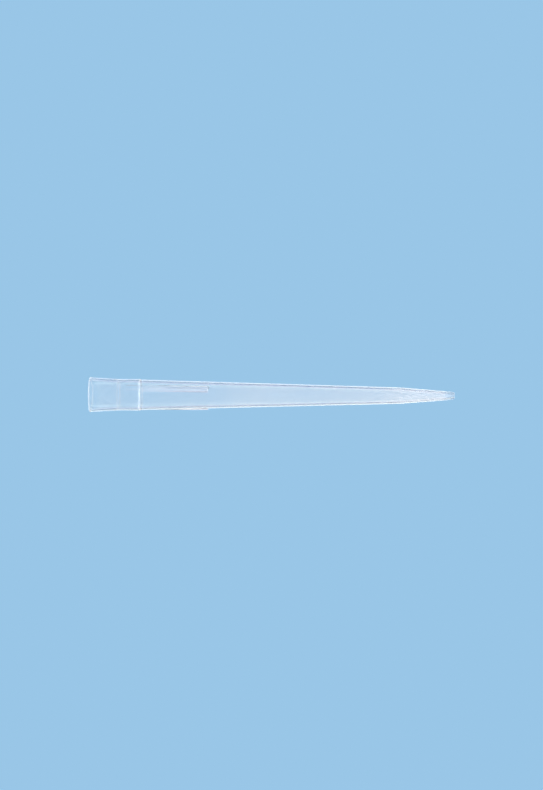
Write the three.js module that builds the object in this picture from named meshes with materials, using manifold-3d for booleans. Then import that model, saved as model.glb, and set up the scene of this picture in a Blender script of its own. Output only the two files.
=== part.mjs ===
// Long pipette tip of the 1250 microlitre pattern: one injection-moulded polypropylene shell.
// Millimetres, +Z up. The tip stands on its mouth: the origin is the centre of the flat mouth rim,
// and +Z is the tip's own axis, running up to the point.
import * as THREE from "three";
import { mergeVertices } from "three/addons/utils/BufferGeometryUtils.js";
import Module from "manifold-3d";

// ---- overall sizes ----
const totalLength = 94.0;
const mouthDiameter = 8.9;
const barrelDiameter = 8.08; // the parallel stretch of the collar, below the flared mouth
const bendDiameter = 4.2; // where the long body cone gives way to the steeper nose
const neckDiameter = 2.42; // where the nose gives way to the short point
const pointDiameter = 1.76;
const orificeDiameter = 0.8;

// ---- collar: flared mouth, barrel and shoulder ----
const flareLength = 5.9; // from the rim to the end of the mouth's flare
const flareStep = 0.07; // how far the end of the flare stands proud of the barrel
const easeLength = 1.2; // the short curve that takes the flare down to the barrel
const collarLength = 12.85; // from the rim to the start of the shoulder
const shoulderLength = 0.45;
const shoulderStep = 0.14; // how far the barrel stands proud of the body cone
const rimRound = 0.12; // radius of the rim's outer corner

// ---- nose and point ----
const noseLength = 14.2; // from the bend to the end of the tip
const bendEase = 1.6; // half the length of the curve that softens the bend
const pointLength = 2.7; // the short point beyond the nose
const neckEase = 0.7; // half the length of the curve between nose and point
const pointRound = 0.1;

// ---- walls, measured square to the axis ----
const rimWall = 0.46;
const flareWall = 0.51;
const sealWall = 0.44; // round the land that grips the pipette's cone
const bodyWall = 0.48;
const noseWall = 0.46;

// ---- bore ----
const leadChamfer = 0.1; // breaks the inner edge of the rim
const sealDraft = 0.04; // how much the land narrows in radius from one end to the other
const ledgeLength = 0.45; // the slope from the land in to the narrower body bore
const ledgeLead = 0.25; // how far the ledge starts ahead of the shoulder
const funnelLength = 2.6; // the cone, inside the point, from the nose bore to the orifice
const funnelEase = 0.15; // half the length of the curve at each end of that cone
const orificeLength = 0.25; // from the end of that cone to the end of the tip

// ---- rack ribs under the shoulder ----
const ribCount = 3;
const ribEnd = 30.5; // distance of the ribs' square ends from the rim
const ribHeight = 0.4; // how far a rib stands out of the body cone at its square end
const ribCrestWidth = 0.65; // between the lines where the flanks would meet the crest unrounded
const ribDraft = 0.58; // how much each flank spreads for each millimetre of depth
const ribEdgeRound = 0.15; // how far the rounding of those two edges reaches

// ---- ridges that carry the ribs on up the collar ----
const ridgeLength = 4.1;
const ridgeHeight = 0.05;
const ridgeWidth = 0.5;

// ---- fineness of the faceted solid ----
const turnSegments = 64;
const curveSteps = 4;

const mouthRadius = mouthDiameter / 2;
const barrelRadius = barrelDiameter / 2;
const flareRadius = barrelRadius + flareStep;
const bodyTop = collarLength + shoulderLength;
const bodyTopRadius = barrelRadius - shoulderStep;
const bendHeight = totalLength - noseLength;
const bendRadius = bendDiameter / 2;
const neckHeight = totalLength - pointLength;
const neckRadius = neckDiameter / 2;
const pointRadius = pointDiameter / 2;
const orificeRadius = orificeDiameter / 2;
const funnelEnd = totalLength - orificeLength;
const funnelStart = funnelEnd - funnelLength;
const overrun = 1; // how far a cutting solid runs past the face that it cuts

// The radius, at height z, of the cone through two rings given as [radius, height].
function coneRadius(z, [lowRadius, lowHeight], [highRadius, highHeight]) {
  return lowRadius + ((highRadius - lowRadius) * (z - lowHeight)) / (highHeight - lowHeight);
}

function bodyRadiusAt(z) {
  return coneRadius(z, [bodyTopRadius, bodyTop], [bendRadius, bendHeight]);
}

function noseRadiusAt(z) {
  return coneRadius(z, [bendRadius, bendHeight], [neckRadius, neckHeight]);
}

function funnelRadiusAt(z) {
  return coneRadius(z, [noseRadiusAt(funnelStart) - noseWall, funnelStart], [orificeRadius, funnelEnd]);
}

function pointRadiusAt(z) {
  return coneRadius(z, [neckRadius, neckHeight], [pointRadius, totalLength]);
}

// Half section of the outside, from the axis at the rim round to the axis at the point.
function outsideProfile() {
  const barrelStart = flareLength + easeLength;
  const profile = new THREE.Path();
  profile.moveTo(0, 0);
  profile.lineTo(mouthRadius - rimRound, 0);
  profile.quadraticCurveTo(mouthRadius, 0, mouthRadius, rimRound);
  profile.lineTo(flareRadius, flareLength);
  profile.bezierCurveTo(
    flareRadius, flareLength + easeLength / 2,
    barrelRadius, flareLength + easeLength / 2,
    barrelRadius, barrelStart,
  );
  profile.lineTo(barrelRadius, collarLength);
  profile.bezierCurveTo(
    barrelRadius, collarLength + shoulderLength / 2,
    bodyTopRadius, collarLength + shoulderLength / 2,
    bodyTopRadius, bodyTop,
  );
  profile.lineTo(bodyRadiusAt(bendHeight - bendEase), bendHeight - bendEase);
  profile.quadraticCurveTo(
    bendRadius, bendHeight,
    noseRadiusAt(bendHeight + bendEase), bendHeight + bendEase,
  );
  profile.lineTo(noseRadiusAt(neckHeight - neckEase), neckHeight - neckEase);
  profile.quadraticCurveTo(
    neckRadius, neckHeight,
    pointRadiusAt(neckHeight + neckEase), neckHeight + neckEase,
  );
  profile.lineTo(pointRadiusAt(totalLength - pointRound), totalLength - pointRound);
  profile.quadraticCurveTo(pointRadius, totalLength, pointRadius - pointRound, totalLength);
  profile.lineTo(0, totalLength);
  return profile;
}

// Half section of the bore, run past both ends so that it cuts them cleanly.
function boreProfile() {
  const sealStart = flareLength + easeLength;
  const sealEnd = collarLength - ledgeLead;
  const sealRadius = barrelRadius - sealWall;
  const boreTop = sealEnd + ledgeLength;
  const rimBore = mouthRadius - rimWall;
  const profile = new THREE.Path();
  profile.moveTo(0, -overrun);
  profile.lineTo(rimBore + leadChamfer + overrun, -overrun);
  profile.lineTo(rimBore, leadChamfer);
  profile.lineTo(flareRadius - flareWall, flareLength);
  profile.lineTo(sealRadius, sealStart);
  profile.lineTo(sealRadius - sealDraft, sealEnd);
  profile.lineTo(bodyRadiusAt(boreTop) - bodyWall, boreTop);
  profile.lineTo(bodyRadiusAt(bendHeight - bendEase) - bodyWall, bendHeight - bendEase);
  profile.quadraticCurveTo(
    bendRadius - bodyWall, bendHeight,
    noseRadiusAt(bendHeight + bendEase) - noseWall, bendHeight + bendEase,
  );
  profile.lineTo(noseRadiusAt(funnelStart - funnelEase) - noseWall, funnelStart - funnelEase);
  profile.quadraticCurveTo(
    funnelRadiusAt(funnelStart), funnelStart,
    funnelRadiusAt(funnelStart + funnelEase), funnelStart + funnelEase,
  );
  profile.lineTo(funnelRadiusAt(funnelEnd - funnelEase), funnelEnd - funnelEase);
  profile.quadraticCurveTo(orificeRadius, funnelEnd, orificeRadius, funnelEnd + funnelEase);
  profile.lineTo(orificeRadius, totalLength + overrun);
  profile.lineTo(0, totalLength + overrun);
  return profile;
}

// One rack rib: a rounded bar with its crest parallel to the axis and its root inside the wall.
function ribGeometry() {
  const crest = bodyRadiusAt(ribEnd) + ribHeight;
  const root = bodyRadiusAt(ribEnd) - bodyWall;
  const crestHalf = ribCrestWidth / 2;
  const flankHalf = crestHalf + ribDraft * ribEdgeRound;
  const rootHalf = crestHalf + ribDraft * (crest - root);
  const section = new THREE.Shape();
  section.moveTo(root, -rootHalf);
  section.lineTo(crest - ribEdgeRound, -flankHalf);
  section.quadraticCurveTo(crest, -crestHalf, crest, -crestHalf + ribEdgeRound);
  section.lineTo(crest, crestHalf - ribEdgeRound);
  section.quadraticCurveTo(crest, crestHalf, crest - ribEdgeRound, flankHalf);
  section.lineTo(root, rootHalf);
  section.closePath();
  const rib = new THREE.ExtrudeGeometry(section, {
    depth: ribEnd - collarLength,
    bevelEnabled: false,
    curveSegments: 3,
  });
  return rib.translate(0, 0, collarLength);
}

// One ridge on the collar: a low bar in line with a rib, ending inside the shoulder.
function ridgeGeometry() {
  const crest = barrelRadius + ridgeHeight;
  const root = barrelRadius - sealWall / 2;
  const ridge = new THREE.BoxGeometry(crest - root, ridgeWidth, ridgeLength);
  return ridge.translate((crest + root) / 2, 0, collarLength - ridgeLength / 2);
}

const wasm = await Module();
wasm.setup();

function solidOf(geometry) {
  const bare = geometry.clone();
  bare.deleteAttribute("normal");
  bare.deleteAttribute("uv");
  const merged = mergeVertices(bare, 1e-5);
  return new wasm.Manifold(new wasm.Mesh({
    numProp: 3,
    vertProperties: Float32Array.from(merged.attributes.position.array),
    triVerts: Uint32Array.from(merged.index.array),
  }));
}

function geometryOf(solid) {
  const mesh = solid.getMesh();
  const geometry = new THREE.BufferGeometry();
  geometry.setAttribute("position", new THREE.BufferAttribute(mesh.vertProperties, 3));
  geometry.setIndex(new THREE.BufferAttribute(mesh.triVerts, 1));
  geometry.computeVertexNormals();
  return geometry;
}

// A profile that starts and ends on the axis, turned about +Z.
function turned(profile) {
  const lathe = new THREE.LatheGeometry(profile.getPoints(curveSteps), turnSegments);
  return solidOf(lathe.rotateX(Math.PI / 2));
}

function tipSolid() {
  let solid = turned(outsideProfile());
  for (let i = 0; i < ribCount; i += 1) {
    const turn = (2 * Math.PI * i) / ribCount;
    solid = solid.add(solidOf(ribGeometry().rotateZ(turn)));
    solid = solid.add(solidOf(ridgeGeometry().rotateZ(turn)));
  }
  return solid.subtract(turned(boreProfile()));
}

const polypropylene = new THREE.MeshStandardMaterial({
  color: 0xcddcf0,
  roughness: 0.3,
  metalness: 0,
  transparent: true,
  opacity: 0.55,
});

const pipetteTip = new THREE.Mesh(geometryOf(tipSolid()), polypropylene);
pipetteTip.name = "pipette_tip";

const part = new THREE.Group();
part.add(pipetteTip);

export default part;
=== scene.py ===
"""A long pipette tip in clear, slightly milky polypropylene, standing on its mouth.

Lengths are in metres, as in the frame. +Z is the tip's axis, from the mouth rim up to the point.
"""
import math

import bpy
from mathutils import Matrix, Vector


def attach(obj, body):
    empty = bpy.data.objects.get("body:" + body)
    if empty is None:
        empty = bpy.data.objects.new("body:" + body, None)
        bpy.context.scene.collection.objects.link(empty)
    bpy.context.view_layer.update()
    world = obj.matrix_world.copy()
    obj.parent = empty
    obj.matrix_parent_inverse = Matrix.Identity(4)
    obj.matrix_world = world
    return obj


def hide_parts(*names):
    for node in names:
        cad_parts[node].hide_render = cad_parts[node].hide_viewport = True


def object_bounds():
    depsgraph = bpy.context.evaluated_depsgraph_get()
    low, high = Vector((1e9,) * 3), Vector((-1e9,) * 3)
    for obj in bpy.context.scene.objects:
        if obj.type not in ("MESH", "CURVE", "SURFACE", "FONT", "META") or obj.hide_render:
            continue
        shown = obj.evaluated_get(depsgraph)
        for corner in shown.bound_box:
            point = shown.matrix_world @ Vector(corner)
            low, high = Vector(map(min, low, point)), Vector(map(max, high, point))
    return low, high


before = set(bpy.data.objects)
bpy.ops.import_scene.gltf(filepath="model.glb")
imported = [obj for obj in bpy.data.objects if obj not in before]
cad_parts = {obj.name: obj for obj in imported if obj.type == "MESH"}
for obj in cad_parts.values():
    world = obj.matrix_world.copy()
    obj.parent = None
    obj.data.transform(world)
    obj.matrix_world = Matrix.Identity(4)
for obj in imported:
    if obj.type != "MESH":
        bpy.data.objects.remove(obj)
cad_low, cad_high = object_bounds()

MM = 0.001

# ---- overall sizes, from the frame ----
LENGTH = cad_high.z - cad_low.z
MOUTH_RADIUS = (cad_high.x - cad_low.x) / 2

# ---- outside ----
BARREL_RADIUS = 4.04 * MM
BEND_RADIUS = 2.10 * MM
NECK_RADIUS = 1.21 * MM
POINT_RADIUS = 0.88 * MM
RIM_ROUND = 0.12 * MM
FLARE_LENGTH = 5.9 * MM
FLARE_STEP = 0.07 * MM
EASE_LENGTH = 1.2 * MM
COLLAR_LENGTH = 12.85 * MM
SHOULDER_LENGTH = 0.45 * MM
SHOULDER_STEP = 0.14 * MM
NOSE_LENGTH = 14.2 * MM
BEND_EASE = 1.6 * MM
POINT_LENGTH = 2.7 * MM
NECK_EASE = 0.7 * MM
POINT_ROUND = 0.1 * MM

# ---- bore ----
ORIFICE_RADIUS = 0.40 * MM
ORIFICE_ROUND = 0.05 * MM
RIM_WALL = 0.46 * MM
FLARE_WALL = 0.51 * MM
SEAL_WALL = 0.44 * MM
BODY_WALL = 0.48 * MM
NOSE_WALL = 0.46 * MM
LEAD_CHAMFER = 0.10 * MM
SEAL_DRAFT = 0.04 * MM
LEDGE_LENGTH = 0.45 * MM
LEDGE_LEAD = 0.25 * MM
FUNNEL_LENGTH = 2.6 * MM
FUNNEL_EASE = 0.15 * MM
ORIFICE_LENGTH = 0.25 * MM

# ---- rack ribs and the ridges that carry them on up the collar ----
RIB_COUNT = 3
RIB_END = 30.5 * MM
RIB_HEIGHT = 0.40 * MM
RIB_CREST_WIDTH = 0.30 * MM  # the flat between the two rounded edges
RIB_EDGE_ROUND = 0.30 * MM
RIB_FLANK = math.radians(60)  # how steeply the flanks stand
RIB_FILLET = 0.03 * MM
RIB_END_ROUND = 0.08 * MM
RIDGE_LENGTH = 4.1 * MM
RIDGE_HEIGHT = 0.05 * MM
RIDGE_WIDTH = 0.5 * MM

# ---- places that follow from the sizes ----
BARREL_START = FLARE_LENGTH + EASE_LENGTH
RIDGE_START = COLLAR_LENGTH - RIDGE_LENGTH
BODY_TOP = COLLAR_LENGTH + SHOULDER_LENGTH
BODY_TOP_RADIUS = BARREL_RADIUS - SHOULDER_STEP
FLARE_RADIUS = BARREL_RADIUS + FLARE_STEP
BEND = LENGTH - NOSE_LENGTH
NECK = LENGTH - POINT_LENGTH
SEAL_END = COLLAR_LENGTH - LEDGE_LEAD
LEDGE_END = SEAL_END + LEDGE_LENGTH
FUNNEL_END = LENGTH - ORIFICE_LENGTH
FUNNEL_START = FUNNEL_END - FUNNEL_LENGTH

# ---- fineness ----
HOLD = 0.04 * MM  # how close a holding ring lies to the end of a straight run
HOLD_SHARE = 0.2  # and how far in it lies at most, as a share of the run
SAME_RING = 0.002 * MM  # rings no further apart than this count as one
RIB_END_RINGS = 6
COARSE_TURN = math.radians(2.0)
FINE_TURN = math.radians(0.5)
FINE_REACH = math.radians(12.0)  # each side of a rib's middle
SHARP_ANGLE = math.radians(40)

# ---- plastic and bloom ----
PLASTIC_IOR = 1.49
BLOOM_IOR = 2.6
BLOOM_ROUGHNESS = 0.3
# the bloom's strength from the rim to the flare, and from the ribs' end to the point,
# as (height from the rim, coat weight)
MOUTH_BLOOM = ((0.0, 0.95), (0.3 * MM, 0.95), (0.45 * MM, 0.085))
BODY_BLOOM = (
    (30.0 * MM, 0.12),
    (43.0 * MM, 0.30),
    (48.0 * MM, 0.28),
    (56.0 * MM, 0.25),
    (65.0 * MM, 0.31),
    (73.3 * MM, 0.36),
    (80.8 * MM, 0.55),
    (85.0 * MM, 0.58),
    (90.8 * MM, 0.53),
    (91.7 * MM, 0.28),
    (92.4 * MM, 0.10),
)
# rings of it round the end of the flare and the shoulder, as (from, to, coat weight, weight around)
BLOOM_RINGS = (
    (6.2 * MM, 6.5 * MM, 0.20, 0.085),
    (BARREL_START, BARREL_START + 0.4 * MM, 0.70, 0.085),
    (7.8 * MM, 8.3 * MM, 0.25, 0.085),
    (COLLAR_LENGTH, BODY_TOP, 0.70, 0.060),
)
RING_EDGE = 0.1 * MM
# strips of it along the ribs, and along the ridges and on past the shoulder,
# as (half the width in radians, the strength as above)
RIB_BLOOM = (0.15, (
    (BODY_TOP - 0.1 * MM, 0.0),
    (BODY_TOP + 0.1 * MM, 0.8),
    (17.0 * MM, 1.0),
    (RIB_END - 0.05 * MM, 1.0),
    (RIB_END + 0.05 * MM, 0.0),
))
RIDGE_BLOOM = (0.06, (
    (RIDGE_START, 0.0),
    (RIDGE_START + 1.0 * MM, 0.5),
    (16.0 * MM, 0.7),
    (24.0 * MM, 0.0),
))
STRIP_EDGE = (0.85, 1.15)  # where a strip's edge begins and ends, as shares of half the width

# ---- streaks of the plastic's flow ----
STREAK_FINENESS = (1800, 1800, 90)  # streaks in a metre, across and along the tip
STREAK_DETAIL = 3.0
STREAK_RANGE = (0.3, 0.7)  # the noise's usual lowest and highest
STREAK_BLOOM = (0.8, 1.2)  # how they scale the bloom
STREAK_ROUGHNESS = (0.03, 0.07)

# ---- the studio's lights ----
BACKDROP = (0.319, 0.565, 0.799)
SOFT_BOX = (1.3, 1.25, 1.3)
SOFT_HIGH = (1.25, 1.25, 1.25)
SOFT_TOP = (4.0, 4.0, 4.0)
WALL_LAMP = (1.5, 1.25, 1.05)
WALL_HIGH = (1.45, 1.25, 1.1)
# how they change with how far off straight ahead a ray leads, as (degrees, colour):
# for rays seen through the tip
THROUGH = (
    (0, BACKDROP),
    (13, BACKDROP),
    (16, (0.40, 0.62, 0.86)),
    (23, (0.16, 0.32, 0.60)),
    (42, (0.10, 0.24, 0.48)),
    (60, (0.42, 0.66, 0.88)),
    (180, (0.42, 0.66, 0.88)),
)
# for rays thrown back once inside the wall
WALL = (
    (0, (0.36, 0.60, 0.85)),
    (28, (0.36, 0.60, 0.85)),
    (40, (0.12, 0.26, 0.50)),
    (62, (0.22, 0.36, 0.56)),
    (68, (0.05, 0.10, 0.20)),
    (74, (0.10, 0.50, 0.70)),
    (82, (1.00, 1.30, 1.30)),
    (92, (1.00, 1.30, 1.30)),
    (104, (0.35, 0.50, 0.60)),
    (180, (0.35, 0.50, 0.60)),
)
# for every other reflection
SOFT = (
    (0, (1.70, 1.70, 1.70)),
    (30, (1.70, 1.70, 1.70)),
    (45, (1.40, 1.40, 1.40)),
    (61, (1.40, 1.35, 1.30)),
    (68, (0.50, 0.40, 0.60)),
    (77, (0.50, 0.40, 0.60)),
    (85, (1.80, 1.75, 1.75)),
    (94, (1.80, 1.75, 1.75)),
    (103, (1.20, 1.10, 1.15)),
    (125, (1.17, 1.12, 1.20)),
    (180, (1.17, 1.12, 1.20)),
)
# how high up each of the others begins and is full, in degrees above the floor's level
SOFT_BOX_EDGE = (26, 40)
SOFT_HIGH_EDGE = (0, 14)
SOFT_TOP_EDGE = (32, 45)
WALL_HIGH_EDGE = (0, 7)
WALL_TOP_EDGE = (20, 28)
WALL_LAMP_EDGE = (0, 8)  # how far round to the right instead
# how often a ray may have met a surface without passing through it, and still count as straight
FLOOR_STRAIGHT = 0.5
WORLD_STRAIGHT = 1.5  # leaving for the world counts once
SEEN_THROUGH = 0.5  # above this, a ray has passed through a surface
WALL_PASSES = 2.0  # a ray thrown back inside the wall has passed in through it and out again

# ---- the floor's light, by how far round the mouth it lies ----
FLOOR_LEAD = 9 * MM  # how far ahead it is laid out, so that no dark shows at the mouth
FLOOR_NEAR = (15 * MM, 50 * MM)  # where it is plain backdrop when seen through the tip
FLOOR_SHADE = (40 * MM, 250 * MM)  # where a painted shade makes it give back less of the lights
# the colour of the painted shade that dims the lights the floor gives back round the mouth
SHADE_TINT = (0.8, 0.86, 0.92)

# ---- floor and camera ----
FLOOR_RADIUS = 1.5
FLOOR_SIDES = 96
CAMERA_AZIMUTH = math.radians(-10.0)
CAMERA_DISTANCE = 0.400
CAMERA_ROLL = math.radians(90.0 + 0.19)  # the tip lies across the picture, its point to the right
CAMERA_CLIP = (0.01, 10.0)
SENSOR_WIDTH = 36.0
LENGTH_SHARE = 0.6708  # of the picture's width that the tip's length takes
AIM_SHARE = 0.4982  # of the way from the mouth to the point
PICTURE_DROP = 0.00028  # how far the tip lies below the picture's middle, as a share of its height
PICTURE_WIDTH, PICTURE_HEIGHT = 543, 790

# ---- the directions that the studio is laid out by ----
AHEAD = (-math.sin(CAMERA_AZIMUTH), math.cos(CAMERA_AZIMUTH), 0)
ASIDE = (math.cos(CAMERA_AZIMUTH), math.sin(CAMERA_AZIMUTH), 0)


# ---------------------------------------------------------------- profile

def between(a, b, t):
    return a + (b - a) * t


def cone(z, low, high):
    """Radius at height z of the cone through two rings, each given as (radius, height)."""
    return between(low[0], high[0], (z - low[1]) / (high[1] - low[1]))


def body_radius(z):
    return cone(z, (BODY_TOP_RADIUS, BODY_TOP), (BEND_RADIUS, BEND))


def nose_radius(z):
    return cone(z, (BEND_RADIUS, BEND), (NECK_RADIUS, NECK))


def point_radius(z):
    return cone(z, (NECK_RADIUS, NECK), (POINT_RADIUS, LENGTH))


def funnel_radius(z):
    low = (nose_radius(FUNNEL_START) - NOSE_WALL, FUNNEL_START)
    return cone(z, low, (ORIFICE_RADIUS, FUNNEL_END))


def straight(a, b, steps=1):
    """Rings from a to b, with a holding ring close to each end so that the shading stays true."""
    hold = min(HOLD / math.dist(a, b), HOLD_SHARE)
    shares = [0.0, hold, *[i / steps for i in range(1, steps)], 1 - hold, 1.0]
    return [(between(a[0], b[0], t), between(a[1], b[1], t)) for t in shares]


def bent(a, corner, b, steps=6):
    """Rings along the curve from a to b that leaves and meets them towards their corner."""
    rings = []
    for i in range(steps + 1):
        t = i / steps
        ac = [between(p, q, t) for p, q in zip(a, corner)]
        cb = [between(p, q, t) for p, q in zip(corner, b)]
        rings.append(tuple(between(p, q, t) for p, q in zip(ac, cb)))
    return rings


def eased(a, b, steps=10):
    """Rings along an S-shaped step from a to b that runs along the axis at both ends."""
    rings = []
    for i in range(steps + 1):
        t = i / steps
        rings.append((between(a[0], b[0], t * t * (3 - 2 * t)), between(a[1], b[1], t)))
    return rings


def outside_rings():
    """The outside, from the rim's flat round its outer corner and up to the point's flat."""
    rim = (MOUTH_RADIUS, RIM_ROUND)
    flare_end = (FLARE_RADIUS, FLARE_LENGTH)
    barrel_start = (BARREL_RADIUS, BARREL_START)
    barrel_end = (BARREL_RADIUS, COLLAR_LENGTH)
    body_start = (BODY_TOP_RADIUS, BODY_TOP)
    rib_foot = on_outline(body_radius, RIB_END - RIB_END_ROUND)
    past_ribs = on_outline(body_radius, RIB_END + HOLD)
    bend_in = on_outline(body_radius, BEND - BEND_EASE)
    bend_out = on_outline(nose_radius, BEND + BEND_EASE)
    neck_in = on_outline(nose_radius, NECK - NECK_EASE)
    neck_out = on_outline(point_radius, NECK + NECK_EASE)
    point_end = on_outline(point_radius, LENGTH - POINT_ROUND)
    rings = bent((MOUTH_RADIUS - RIM_ROUND, 0), (MOUTH_RADIUS, 0), rim)
    rings += straight(rim, flare_end, 6)
    rings += eased(flare_end, barrel_start)
    rings += straight(barrel_start, barrel_end, 16)
    rings += eased(barrel_end, body_start)
    rings += straight(body_start, rib_foot, 28)
    rings += [on_outline(body_radius, z) for z in rib_end_heights()]
    rings += straight(past_ribs, bend_in, 16)
    rings += bent(bend_in, (BEND_RADIUS, BEND), bend_out, 12)
    rings += straight(bend_out, neck_in, 6)
    rings += bent(neck_in, (NECK_RADIUS, NECK), neck_out)
    rings += straight(neck_out, point_end, 2)
    rings += bent(point_end, (POINT_RADIUS, LENGTH), (POINT_RADIUS - POINT_ROUND, LENGTH))
    return without_repeats(rings)


def on_outline(radius_at, z, wall=0.0):
    """The ring at height z, or the one that lies a wall's thickness inside it."""
    return radius_at(z) - wall, z


def rib_end_heights():
    """Heights that crowd together towards the ribs' square end."""
    quarter = math.pi / 2
    start = RIB_END - RIB_END_ROUND
    shares = [i / RIB_END_RINGS for i in range(1, RIB_END_RINGS + 1)]
    return [start + RIB_END_ROUND * math.sin(quarter * share) for share in shares]


def bore_rings():
    """The bore, from the point's flat down to the rim's flat."""
    lip = (ORIFICE_RADIUS, LENGTH - ORIFICE_ROUND)
    orifice_out = (ORIFICE_RADIUS, FUNNEL_END + FUNNEL_EASE)
    orifice_in = on_outline(funnel_radius, FUNNEL_END - FUNNEL_EASE)
    funnel_out = on_outline(funnel_radius, FUNNEL_START + FUNNEL_EASE)
    funnel_in = on_outline(nose_radius, FUNNEL_START - FUNNEL_EASE, NOSE_WALL)
    bend_out = on_outline(nose_radius, BEND + BEND_EASE, NOSE_WALL)
    bend_in = on_outline(body_radius, BEND - BEND_EASE, BODY_WALL)
    ledge_end = on_outline(body_radius, LEDGE_END, BODY_WALL)
    seal_start = (BARREL_RADIUS - SEAL_WALL, BARREL_START)
    seal_end = (BARREL_RADIUS - SEAL_WALL - SEAL_DRAFT, SEAL_END)
    flare_end = (FLARE_RADIUS - FLARE_WALL, FLARE_LENGTH)
    mouth = MOUTH_RADIUS - RIM_WALL
    rings = bent((ORIFICE_RADIUS + ORIFICE_ROUND, LENGTH), (ORIFICE_RADIUS, LENGTH), lip)
    rings += straight(lip, orifice_out)
    rings += bent(orifice_out, (ORIFICE_RADIUS, FUNNEL_END), orifice_in)
    rings += straight(orifice_in, funnel_out, 4)
    rings += bent(funnel_out, on_outline(funnel_radius, FUNNEL_START), funnel_in)
    rings += straight(funnel_in, bend_out, 5)
    rings += bent(bend_out, (BEND_RADIUS - BODY_WALL, BEND), bend_in, 12)
    rings += straight(bend_in, ledge_end, 20)
    rings += eased(ledge_end, seal_end, 12)
    rings += straight(seal_end, seal_start, 4)
    rings += eased(seal_start, flare_end, 8)
    rings += straight(flare_end, (mouth, LEAD_CHAMFER), 6)
    rings += bent((mouth, LEAD_CHAMFER), (mouth, 0), (mouth + LEAD_CHAMFER, 0), 4)
    return without_repeats(rings)


def without_repeats(rings):
    """The rings without those that repeat the one before."""
    kept = [rings[0]]
    for ring in rings[1:]:
        if math.dist(ring, kept[-1]) > SAME_RING:
            kept.append(ring)
    return kept


# ---------------------------------------------------------------- ribs

SECTOR = 2 * math.pi / RIB_COUNT  # from one rib's middle to the next


def turn_steps():
    """The angles of the grid's lengthwise lines: close together over each rib, wide elsewhere."""
    fine = round(2 * FINE_REACH / FINE_TURN)
    coarse = round((SECTOR - 2 * FINE_REACH) / COARSE_TURN)
    angles = []
    for i in range(RIB_COUNT):
        middle = 2 * math.pi * i / RIB_COUNT
        start = middle - FINE_REACH
        angles += [start + 2 * FINE_REACH * j / fine for j in range(fine)]
        start = middle + FINE_REACH
        angles += [start + (SECTOR - 2 * FINE_REACH) * j / coarse for j in range(coarse)]
    return angles


def smooth_fall(distance, inner, outer):
    """1 up to inner, 0 from outer on, with a smooth fall between."""
    t = min(max((distance - inner) / (outer - inner), 0.0), 1.0)
    return 1 - t * t * (3 - 2 * t)


def off_middle(angle):
    """The angle to the nearest rib's middle."""
    return abs((angle + SECTOR / 2) % SECTOR - SECTOR / 2)


def rib_end_share(z):
    """How much of a rib's height is left at z: all of it, then the round down its square end."""
    t = (z - (RIB_END - RIB_END_ROUND)) / RIB_END_ROUND
    if t <= 0:
        return 1.0
    return math.sqrt(max(1 - t * t, 0.0))


def rib_drop(side):
    """How far below its crest a rib's surface lies, at a distance to the side of the middle."""
    turned = (side - RIB_CREST_WIDTH / 2) / RIB_EDGE_ROUND
    if turned <= 0:
        return 0.0
    if turned < math.sin(RIB_FLANK):
        return RIB_EDGE_ROUND * (1 - math.sqrt(1 - turned * turned))
    down = 1 - math.cos(RIB_FLANK) + (turned - math.sin(RIB_FLANK)) * math.tan(RIB_FLANK)
    return RIB_EDGE_ROUND * down


def ridge_height(z, side):
    """How far a ridge stands out of the collar: it fades in from below and ends in the shoulder."""
    fade = smooth_fall(BODY_TOP - z, BODY_TOP - RIDGE_START - RIDGE_WIDTH, BODY_TOP - RIDGE_START)
    across = smooth_fall(side, RIDGE_WIDTH / 4, RIDGE_WIDTH / 2)
    return RIDGE_HEIGHT * fade * across * smooth_fall(z, COLLAR_LENGTH, BODY_TOP)


def raised(radius, z, angle):
    """The outside's radius with the ribs and ridges on it."""
    turn = off_middle(angle)
    if turn > FINE_REACH or z <= RIDGE_START or z > RIB_END:
        return radius
    crest = (body_radius(RIB_END) + RIB_HEIGHT) / math.cos(turn)
    side = radius * math.sin(turn)
    if z < BODY_TOP:
        return radius + ridge_height(z, side)
    if crest <= radius:
        return radius
    stand = crest - radius - rib_drop(side)
    filleted = (stand + math.hypot(stand, RIB_FILLET)) / 2
    return radius + filleted * rib_end_share(z)


# ---------------------------------------------------------------- shell mesh

def tip_shell():
    """The whole shell as one closed grid: up the outside, over the point and back down the bore."""
    angles = turn_steps()
    outside = outside_rings()
    bore = bore_rings()
    vertices = []
    for radius, z in outside:
        for angle in angles:
            r = raised(radius, z, angle)
            vertices.append((r * math.cos(angle), r * math.sin(angle), z))
    for radius, z in bore:
        for angle in angles:
            vertices.append((radius * math.cos(angle), radius * math.sin(angle), z))
    rings, around = len(outside) + len(bore), len(angles)
    faces = []
    for i in range(rings):
        low, high = i * around, (i + 1) % rings * around
        for j in range(around):
            k = (j + 1) % around
            faces.append((low + j, low + k, high + k, high + j))
    mesh = bpy.data.meshes.new("tip_shell")
    mesh.from_pydata(vertices, [], faces)
    mesh.shade_smooth()
    mesh.set_sharp_from_angle(angle=SHARP_ANGLE)
    mesh.validate()
    shell = bpy.data.objects.new("tip_shell", mesh)
    bpy.context.scene.collection.objects.link(shell)
    return shell


# ---------------------------------------------------------------- nodes

MIX_A, MIX_B, MIX_RESULT = 6, 7, 2  # the colour sockets of a Mix node


def linked(tree, node_type, inputs=None, **settings):
    """A new node with its settings and inputs: an input is a value, or a socket to link from."""
    node = tree.nodes.new(node_type)
    for name, value in settings.items():
        setattr(node, name, value)
    for name, value in (inputs or {}).items():
        if isinstance(value, bpy.types.NodeSocket):
            tree.links.new(value, node.inputs[name])
        else:
            node.inputs[name].default_value = value
    return node


def maths(tree, operation, *values):
    """What a Math node makes of one to three numbers."""
    return linked(tree, "ShaderNodeMath", dict(enumerate(values)), operation=operation).outputs[0]


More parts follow.
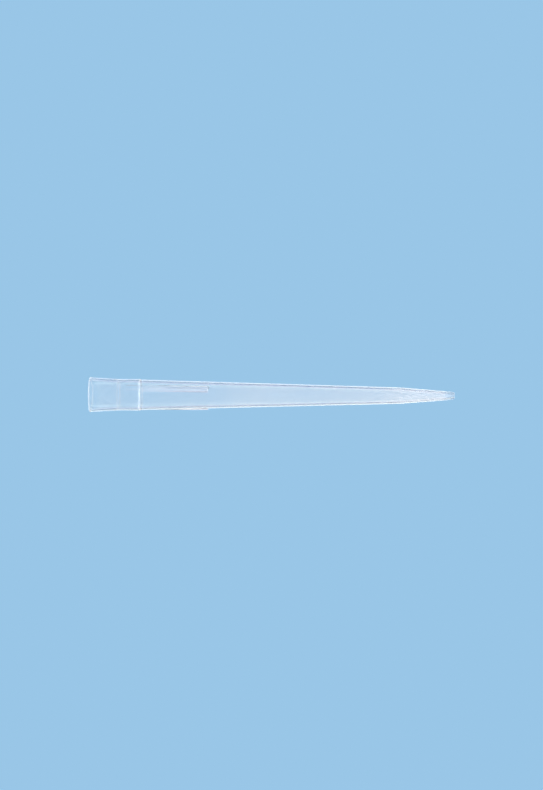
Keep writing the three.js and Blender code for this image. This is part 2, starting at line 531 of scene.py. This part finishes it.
def vector_maths(tree, operation, *values):
    """What a Vector Math node makes of one or two vectors, as a vector or as a number."""
    node = linked(tree, "ShaderNodeVectorMath", dict(enumerate(values)), operation=operation)
    gives_number = operation in ("LENGTH", "DOT_PRODUCT")
    return node.outputs["Value" if gives_number else "Vector"]


def mapped(tree, value, from_range, to_range, **settings):
    """The value, carried over from one range to another."""
    inputs = {
        "Value": value,
        "From Min": from_range[0],
        "From Max": from_range[1],
        "To Min": to_range[0],
        "To Max": to_range[1],
    }
    return linked(tree, "ShaderNodeMapRange", inputs, **settings).outputs["Result"]


def eased_step(tree, value, low, high):
    """0 up to low, 1 from high on, with a smooth rise between."""
    return mapped(tree, value, (low, high), (0.0, 1.0), interpolation_type="SMOOTHSTEP")


def eased_fall(tree, value, low, high):
    """1 up to low, 0 from high on, with a smooth fall between."""
    return mapped(tree, value, (low, high), (1.0, 0.0), interpolation_type="SMOOTHSTEP")


def ramp(tree, factor, stops):
    """A colour ramp through stops given as (position, colour)."""
    node = linked(tree, "ShaderNodeValToRGB", {0: factor})
    node.color_ramp.interpolation = "EASE"
    elements = node.color_ramp.elements
    elements.remove(elements[1])
    for i, (position, colour) in enumerate(stops):
        stop = elements[0] if i == 0 else elements.new(position)
        stop.position = position
        stop.color = (*colour, 1)
    return node.outputs["Color"]


def mixed(tree, factor, a, b):
    """The mix of two colours, each given as a value or as a socket."""
    node = linked(tree, "ShaderNodeMix", {"Factor": factor}, data_type="RGBA")
    for socket, colour in ((node.inputs[MIX_A], a), (node.inputs[MIX_B], b)):
        if isinstance(colour, bpy.types.NodeSocket):
            tree.links.new(colour, socket)
        else:
            socket.default_value = (*colour, 1)
    return node.outputs[MIX_RESULT]


def tinted(tree, factor, colour, tint):
    """The colour, multiplied by the tint as far as the factor says."""
    settings = {"data_type": "RGBA", "blend_type": "MULTIPLY"}
    node = linked(tree, "ShaderNodeMix", {"Factor": factor}, **settings)
    tree.links.new(colour, node.inputs[MIX_A])
    node.inputs[MIX_B].default_value = (*tint, 1)
    return node.outputs[MIX_RESULT]


# ---------------------------------------------------------------- plastic

def clear_polypropylene():
    """Clear plastic with a milky bloom: thicker towards the point, over the ribs and on the rings.

    The bloom is the shader's coat, and streaks of the plastic's flow make it and the gloss uneven.
    """
    material = bpy.data.materials.new("clear_polypropylene")
    material.use_nodes = True
    tree = material.node_tree
    shader = tree.nodes["Principled BSDF"]
    shader.inputs["Base Color"].default_value = (1.0, 1.0, 1.0, 1)
    shader.inputs["IOR"].default_value = PLASTIC_IOR
    shader.inputs["Transmission Weight"].default_value = 1.0
    shader.inputs["Coat IOR"].default_value = BLOOM_IOR
    shader.inputs["Coat Roughness"].default_value = BLOOM_ROUGHNESS
    place = linked(tree, "ShaderNodeTexCoord").outputs["Object"]
    apart = linked(tree, "ShaderNodeSeparateXYZ", {0: place})
    share = maths(tree, "DIVIDE", apart.outputs["Z"], LENGTH)
    bloom = bloom_ramp(tree, share, bloom_stops())
    outside = on_outside(tree, place, apart.outputs["Z"])
    strips = maths(tree, "MULTIPLY", over_ribs(tree, apart, share), outside)
    whole = maths(tree, "MAXIMUM", bloom, strips)
    streaks = flow_streaks(tree, place)
    uneven = maths(tree, "MULTIPLY", whole, mapped(tree, streaks, STREAK_RANGE, STREAK_BLOOM))
    tree.links.new(uneven, shader.inputs["Coat Weight"])
    roughness = mapped(tree, streaks, STREAK_RANGE, STREAK_ROUGHNESS)
    tree.links.new(roughness, shader.inputs["Roughness"])
    return material


def bloom_stops():
    """The bloom's stops from the mouth to the point, with its rings between."""
    stops = list(MOUTH_BLOOM)
    for low, high, weight, around in BLOOM_RINGS:
        stops += [(low, around), (low + RING_EDGE, weight)]
        stops += [(high - RING_EDGE, weight), (high, around)]
    return stops + list(BODY_BLOOM)


def bloom_ramp(tree, share, stops):
    """The bloom's strength along the tip, for a share of its length."""
    return ramp(tree, share, [(z / LENGTH, (weight,) * 3) for z, weight in stops])


def over_ribs(tree, apart, share):
    """How much bloom lies over the ribs and ridges: apart has the place's X and Y."""
    turn = maths(tree, "ARCTAN2", apart.outputs["Y"], apart.outputs["X"])
    off = maths(tree, "ABSOLUTE", maths(tree, "WRAP", turn, SECTOR / 2, -SECTOR / 2))
    masks = []
    for half_width, stops in (RIB_BLOOM, RIDGE_BLOOM):
        across = eased_fall(tree, off, *(half_width * edge for edge in STRIP_EDGE))
        masks.append(maths(tree, "MULTIPLY", across, bloom_ramp(tree, share, stops)))
    return maths(tree, "MAXIMUM", *masks)


def on_outside(tree, place, height):
    """1 on the outside and 0 on the bore, from the collar up to the bend."""
    across = vector_maths(tree, "MULTIPLY", place, (1, 1, 0))
    radius = vector_maths(tree, "LENGTH", across)
    mid_wall = (BODY_TOP_RADIUS - BODY_WALL / 2, BEND_RADIUS - BODY_WALL / 2)
    middle = mapped(tree, height, (BODY_TOP, BEND), mid_wall, clamp=False)
    return maths(tree, "GREATER_THAN", radius, middle)


def flow_streaks(tree, place):
    """Fine streaks along the tip, as the plastic's flow leaves them, about the value 0.5."""
    spread = vector_maths(tree, "MULTIPLY", place, STREAK_FINENESS)
    inputs = {"Vector": spread, "Scale": 1.0, "Detail": STREAK_DETAIL}
    return linked(tree, "ShaderNodeTexNoise", inputs).outputs["Fac"]


# ---------------------------------------------------------------- studio

def studio_light():
    """The light that comes back along a ray, by where the ray leads and how it got there.

    Seen straight, the studio is its blue backdrop, up to the soft box overhead. Seen through the tip
    it is the backdrop too, with darker and paler bands for rays that the wall has bent aside, except
    near the tip. Rays thrown back inside the wall and all other reflections meet lights that change
    with how far off straight ahead they lead, under a soft box overhead, and are dimmer where shade
    is painted on the floor round the tip.
    """
    group = bpy.data.node_groups.new("studio_light", "ShaderNodeTree")
    for name in ("Turned", "Passes", "Near", "Shade"):
        group.interface.new_socket(name, in_out="INPUT", socket_type="NodeSocketFloat")
    group.interface.new_socket("Direction", in_out="INPUT", socket_type="NodeSocketVector")
    group.interface.new_socket("Light", in_out="OUTPUT", socket_type="NodeSocketColor")
    entry = linked(group, "NodeGroupInput").outputs
    toward = vector_maths(group, "NORMALIZE", entry["Direction"])
    rise = linked(group, "ShaderNodeSeparateXYZ", {0: toward}).outputs["Z"]
    aside = vector_maths(group, "DOT_PRODUCT", toward, ASIDE)
    off_ahead = maths(group, "ARCCOSINE", vector_maths(group, "DOT_PRODUCT", toward, AHEAD))
    half_turns = maths(group, "DIVIDE", off_ahead, math.pi)

    passed = maths(group, "GREATER_THAN", entry["Passes"], SEEN_THROUGH)
    through = mixed(group, entry["Near"], light_ramp(group, half_turns, THROUGH), BACKDROP)
    straight_on = mixed(group, passed, BACKDROP, through)
    straight_on = mixed(group, risen(group, rise, SOFT_BOX_EDGE), straight_on, SOFT_BOX)

    wall = light_ramp(group, half_turns, WALL)
    wall = tinted(group, risen(group, aside, WALL_LAMP_EDGE), wall, WALL_LAMP)
    wall = tinted(group, risen(group, rise, WALL_HIGH_EDGE), wall, WALL_HIGH)
    wall = mixed(group, risen(group, rise, WALL_TOP_EDGE), wall, SOFT_TOP)

    soft = light_ramp(group, half_turns, SOFT)
    soft = tinted(group, risen(group, rise, SOFT_HIGH_EDGE), soft, SOFT_HIGH)
    soft = mixed(group, risen(group, rise, SOFT_TOP_EDGE), soft, SOFT_TOP)

    in_wall = maths(group, "COMPARE", entry["Passes"], WALL_PASSES, 0.5)
    # painted shade: where Shade is up, the mirrored lights are dimmed by SHADE_TINT round the tip
    mirrored = tinted(group, entry["Shade"], mixed(group, in_wall, soft, wall), SHADE_TINT)
    light = mixed(group, entry["Turned"], straight_on, mirrored)
    linked(group, "NodeGroupOutput", {"Light": light})
    return group


def risen(tree, value, degrees):
    """0 before a light begins and 1 where it is full: the value is the sine of the ray's angle."""
    return eased_step(tree, value, *(math.sin(math.radians(angle)) for angle in degrees))


def light_ramp(tree, half_turns, stops):
    """A colour ramp through stops given as (degrees, colour), for a factor in half turns."""
    return ramp(tree, half_turns, [(degrees / 180, colour) for degrees, colour in stops])


def lit_by_studio(tree, group, direction, straight_count, **masks):
    """The studio light along a direction.

    A ray's count is how often it has met a surface without passing through: above straight_count
    it has turned back.
    """
    path = linked(tree, "ShaderNodeLightPath").outputs
    count = maths(tree, "SUBTRACT", path["Ray Depth"], path["Transmission Depth"])
    inputs = {
        "Turned": maths(tree, "GREATER_THAN", count, straight_count),
        "Passes": path["Transmission Depth"],
        "Direction": direction,
        **masks,
    }
    return linked(tree, "ShaderNodeGroup", inputs, node_tree=group).outputs["Light"]


def floor_paint(group):
    """The pale floor, which glows with the studio's light and so shows no edge against it."""
    material = bpy.data.materials.new("floor_paint")
    material.use_nodes = True
    tree = material.node_tree
    tree.nodes.remove(tree.nodes["Principled BSDF"])
    place = linked(tree, "ShaderNodeTexCoord").outputs["Object"]
    spot = vector_maths(tree, "ADD", place, tuple(FLOOR_LEAD * share for share in AHEAD))
    away = vector_maths(tree, "LENGTH", place)
    near = eased_fall(tree, away, *FLOOR_NEAR)
    # painted shade on the floor, full near the mouth and gone by FLOOR_SHADE's far end
    shade = eased_fall(tree, away, *FLOOR_SHADE)
    light = lit_by_studio(tree, group, spot, FLOOR_STRAIGHT, Near=near, Shade=shade)
    glow = linked(tree, "ShaderNodeEmission", {"Color": light})
    tree.links.new(glow.outputs[0], tree.nodes["Material Output"].inputs["Surface"])
    return material


def floor(group):
    turns = [2 * math.pi * i / FLOOR_SIDES for i in range(FLOOR_SIDES)]
    ring = [(FLOOR_RADIUS * math.cos(t), FLOOR_RADIUS * math.sin(t), cad_low.z) for t in turns]
    mesh = bpy.data.meshes.new("floor")
    mesh.from_pydata(ring, [], [tuple(range(FLOOR_SIDES))])
    disc = bpy.data.objects.new("floor", mesh)
    bpy.context.scene.collection.objects.link(disc)
    disc.data.materials.append(floor_paint(group))
    return disc


def studio(group):
    world = bpy.data.worlds.new("studio")
    bpy.context.scene.world = world
    world.use_nodes = True
    world.cycles.sampling_method = "NONE"
    tree = world.node_tree
    direction = linked(tree, "ShaderNodeTexCoord").outputs["Generated"]
    light = lit_by_studio(tree, group, direction, WORLD_STRAIGHT)
    tree.links.new(light, tree.nodes["Background"].inputs["Color"])


# ---------------------------------------------------------------- camera

def camera():
    data = bpy.data.cameras.new("camera")
    data.sensor_width = SENSOR_WIDTH
    short_side = data.sensor_width * PICTURE_WIDTH / PICTURE_HEIGHT
    data.lens = LENGTH_SHARE * short_side * CAMERA_DISTANCE / LENGTH
    data.shift_y = PICTURE_DROP
    data.clip_start, data.clip_end = CAMERA_CLIP
    cam = bpy.data.objects.new("camera", data)
    bpy.context.scene.collection.objects.link(cam)
    back = Vector((math.sin(CAMERA_AZIMUTH), -math.cos(CAMERA_AZIMUTH), 0))
    aim = Vector((0, 0, between(cad_low.z, cad_high.z, AIM_SHARE)))
    stand = Matrix.Translation(aim + back * CAMERA_DISTANCE)
    upright = back.to_track_quat("Z", "Y").to_matrix().to_4x4()
    cam.matrix_world = stand @ upright @ Matrix.Rotation(CAMERA_ROLL, 4, "Z")
    bpy.context.scene.camera = cam


# ---------------------------------------------------------------- scene

camera()
light_group = studio_light()
studio(light_group)
floor(light_group)

shell = tip_shell()
shell.data.materials.append(clear_polypropylene())
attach(shell, "root")
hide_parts("pipette_tip")

bpy.context.scene.view_settings.view_transform = "Standard"
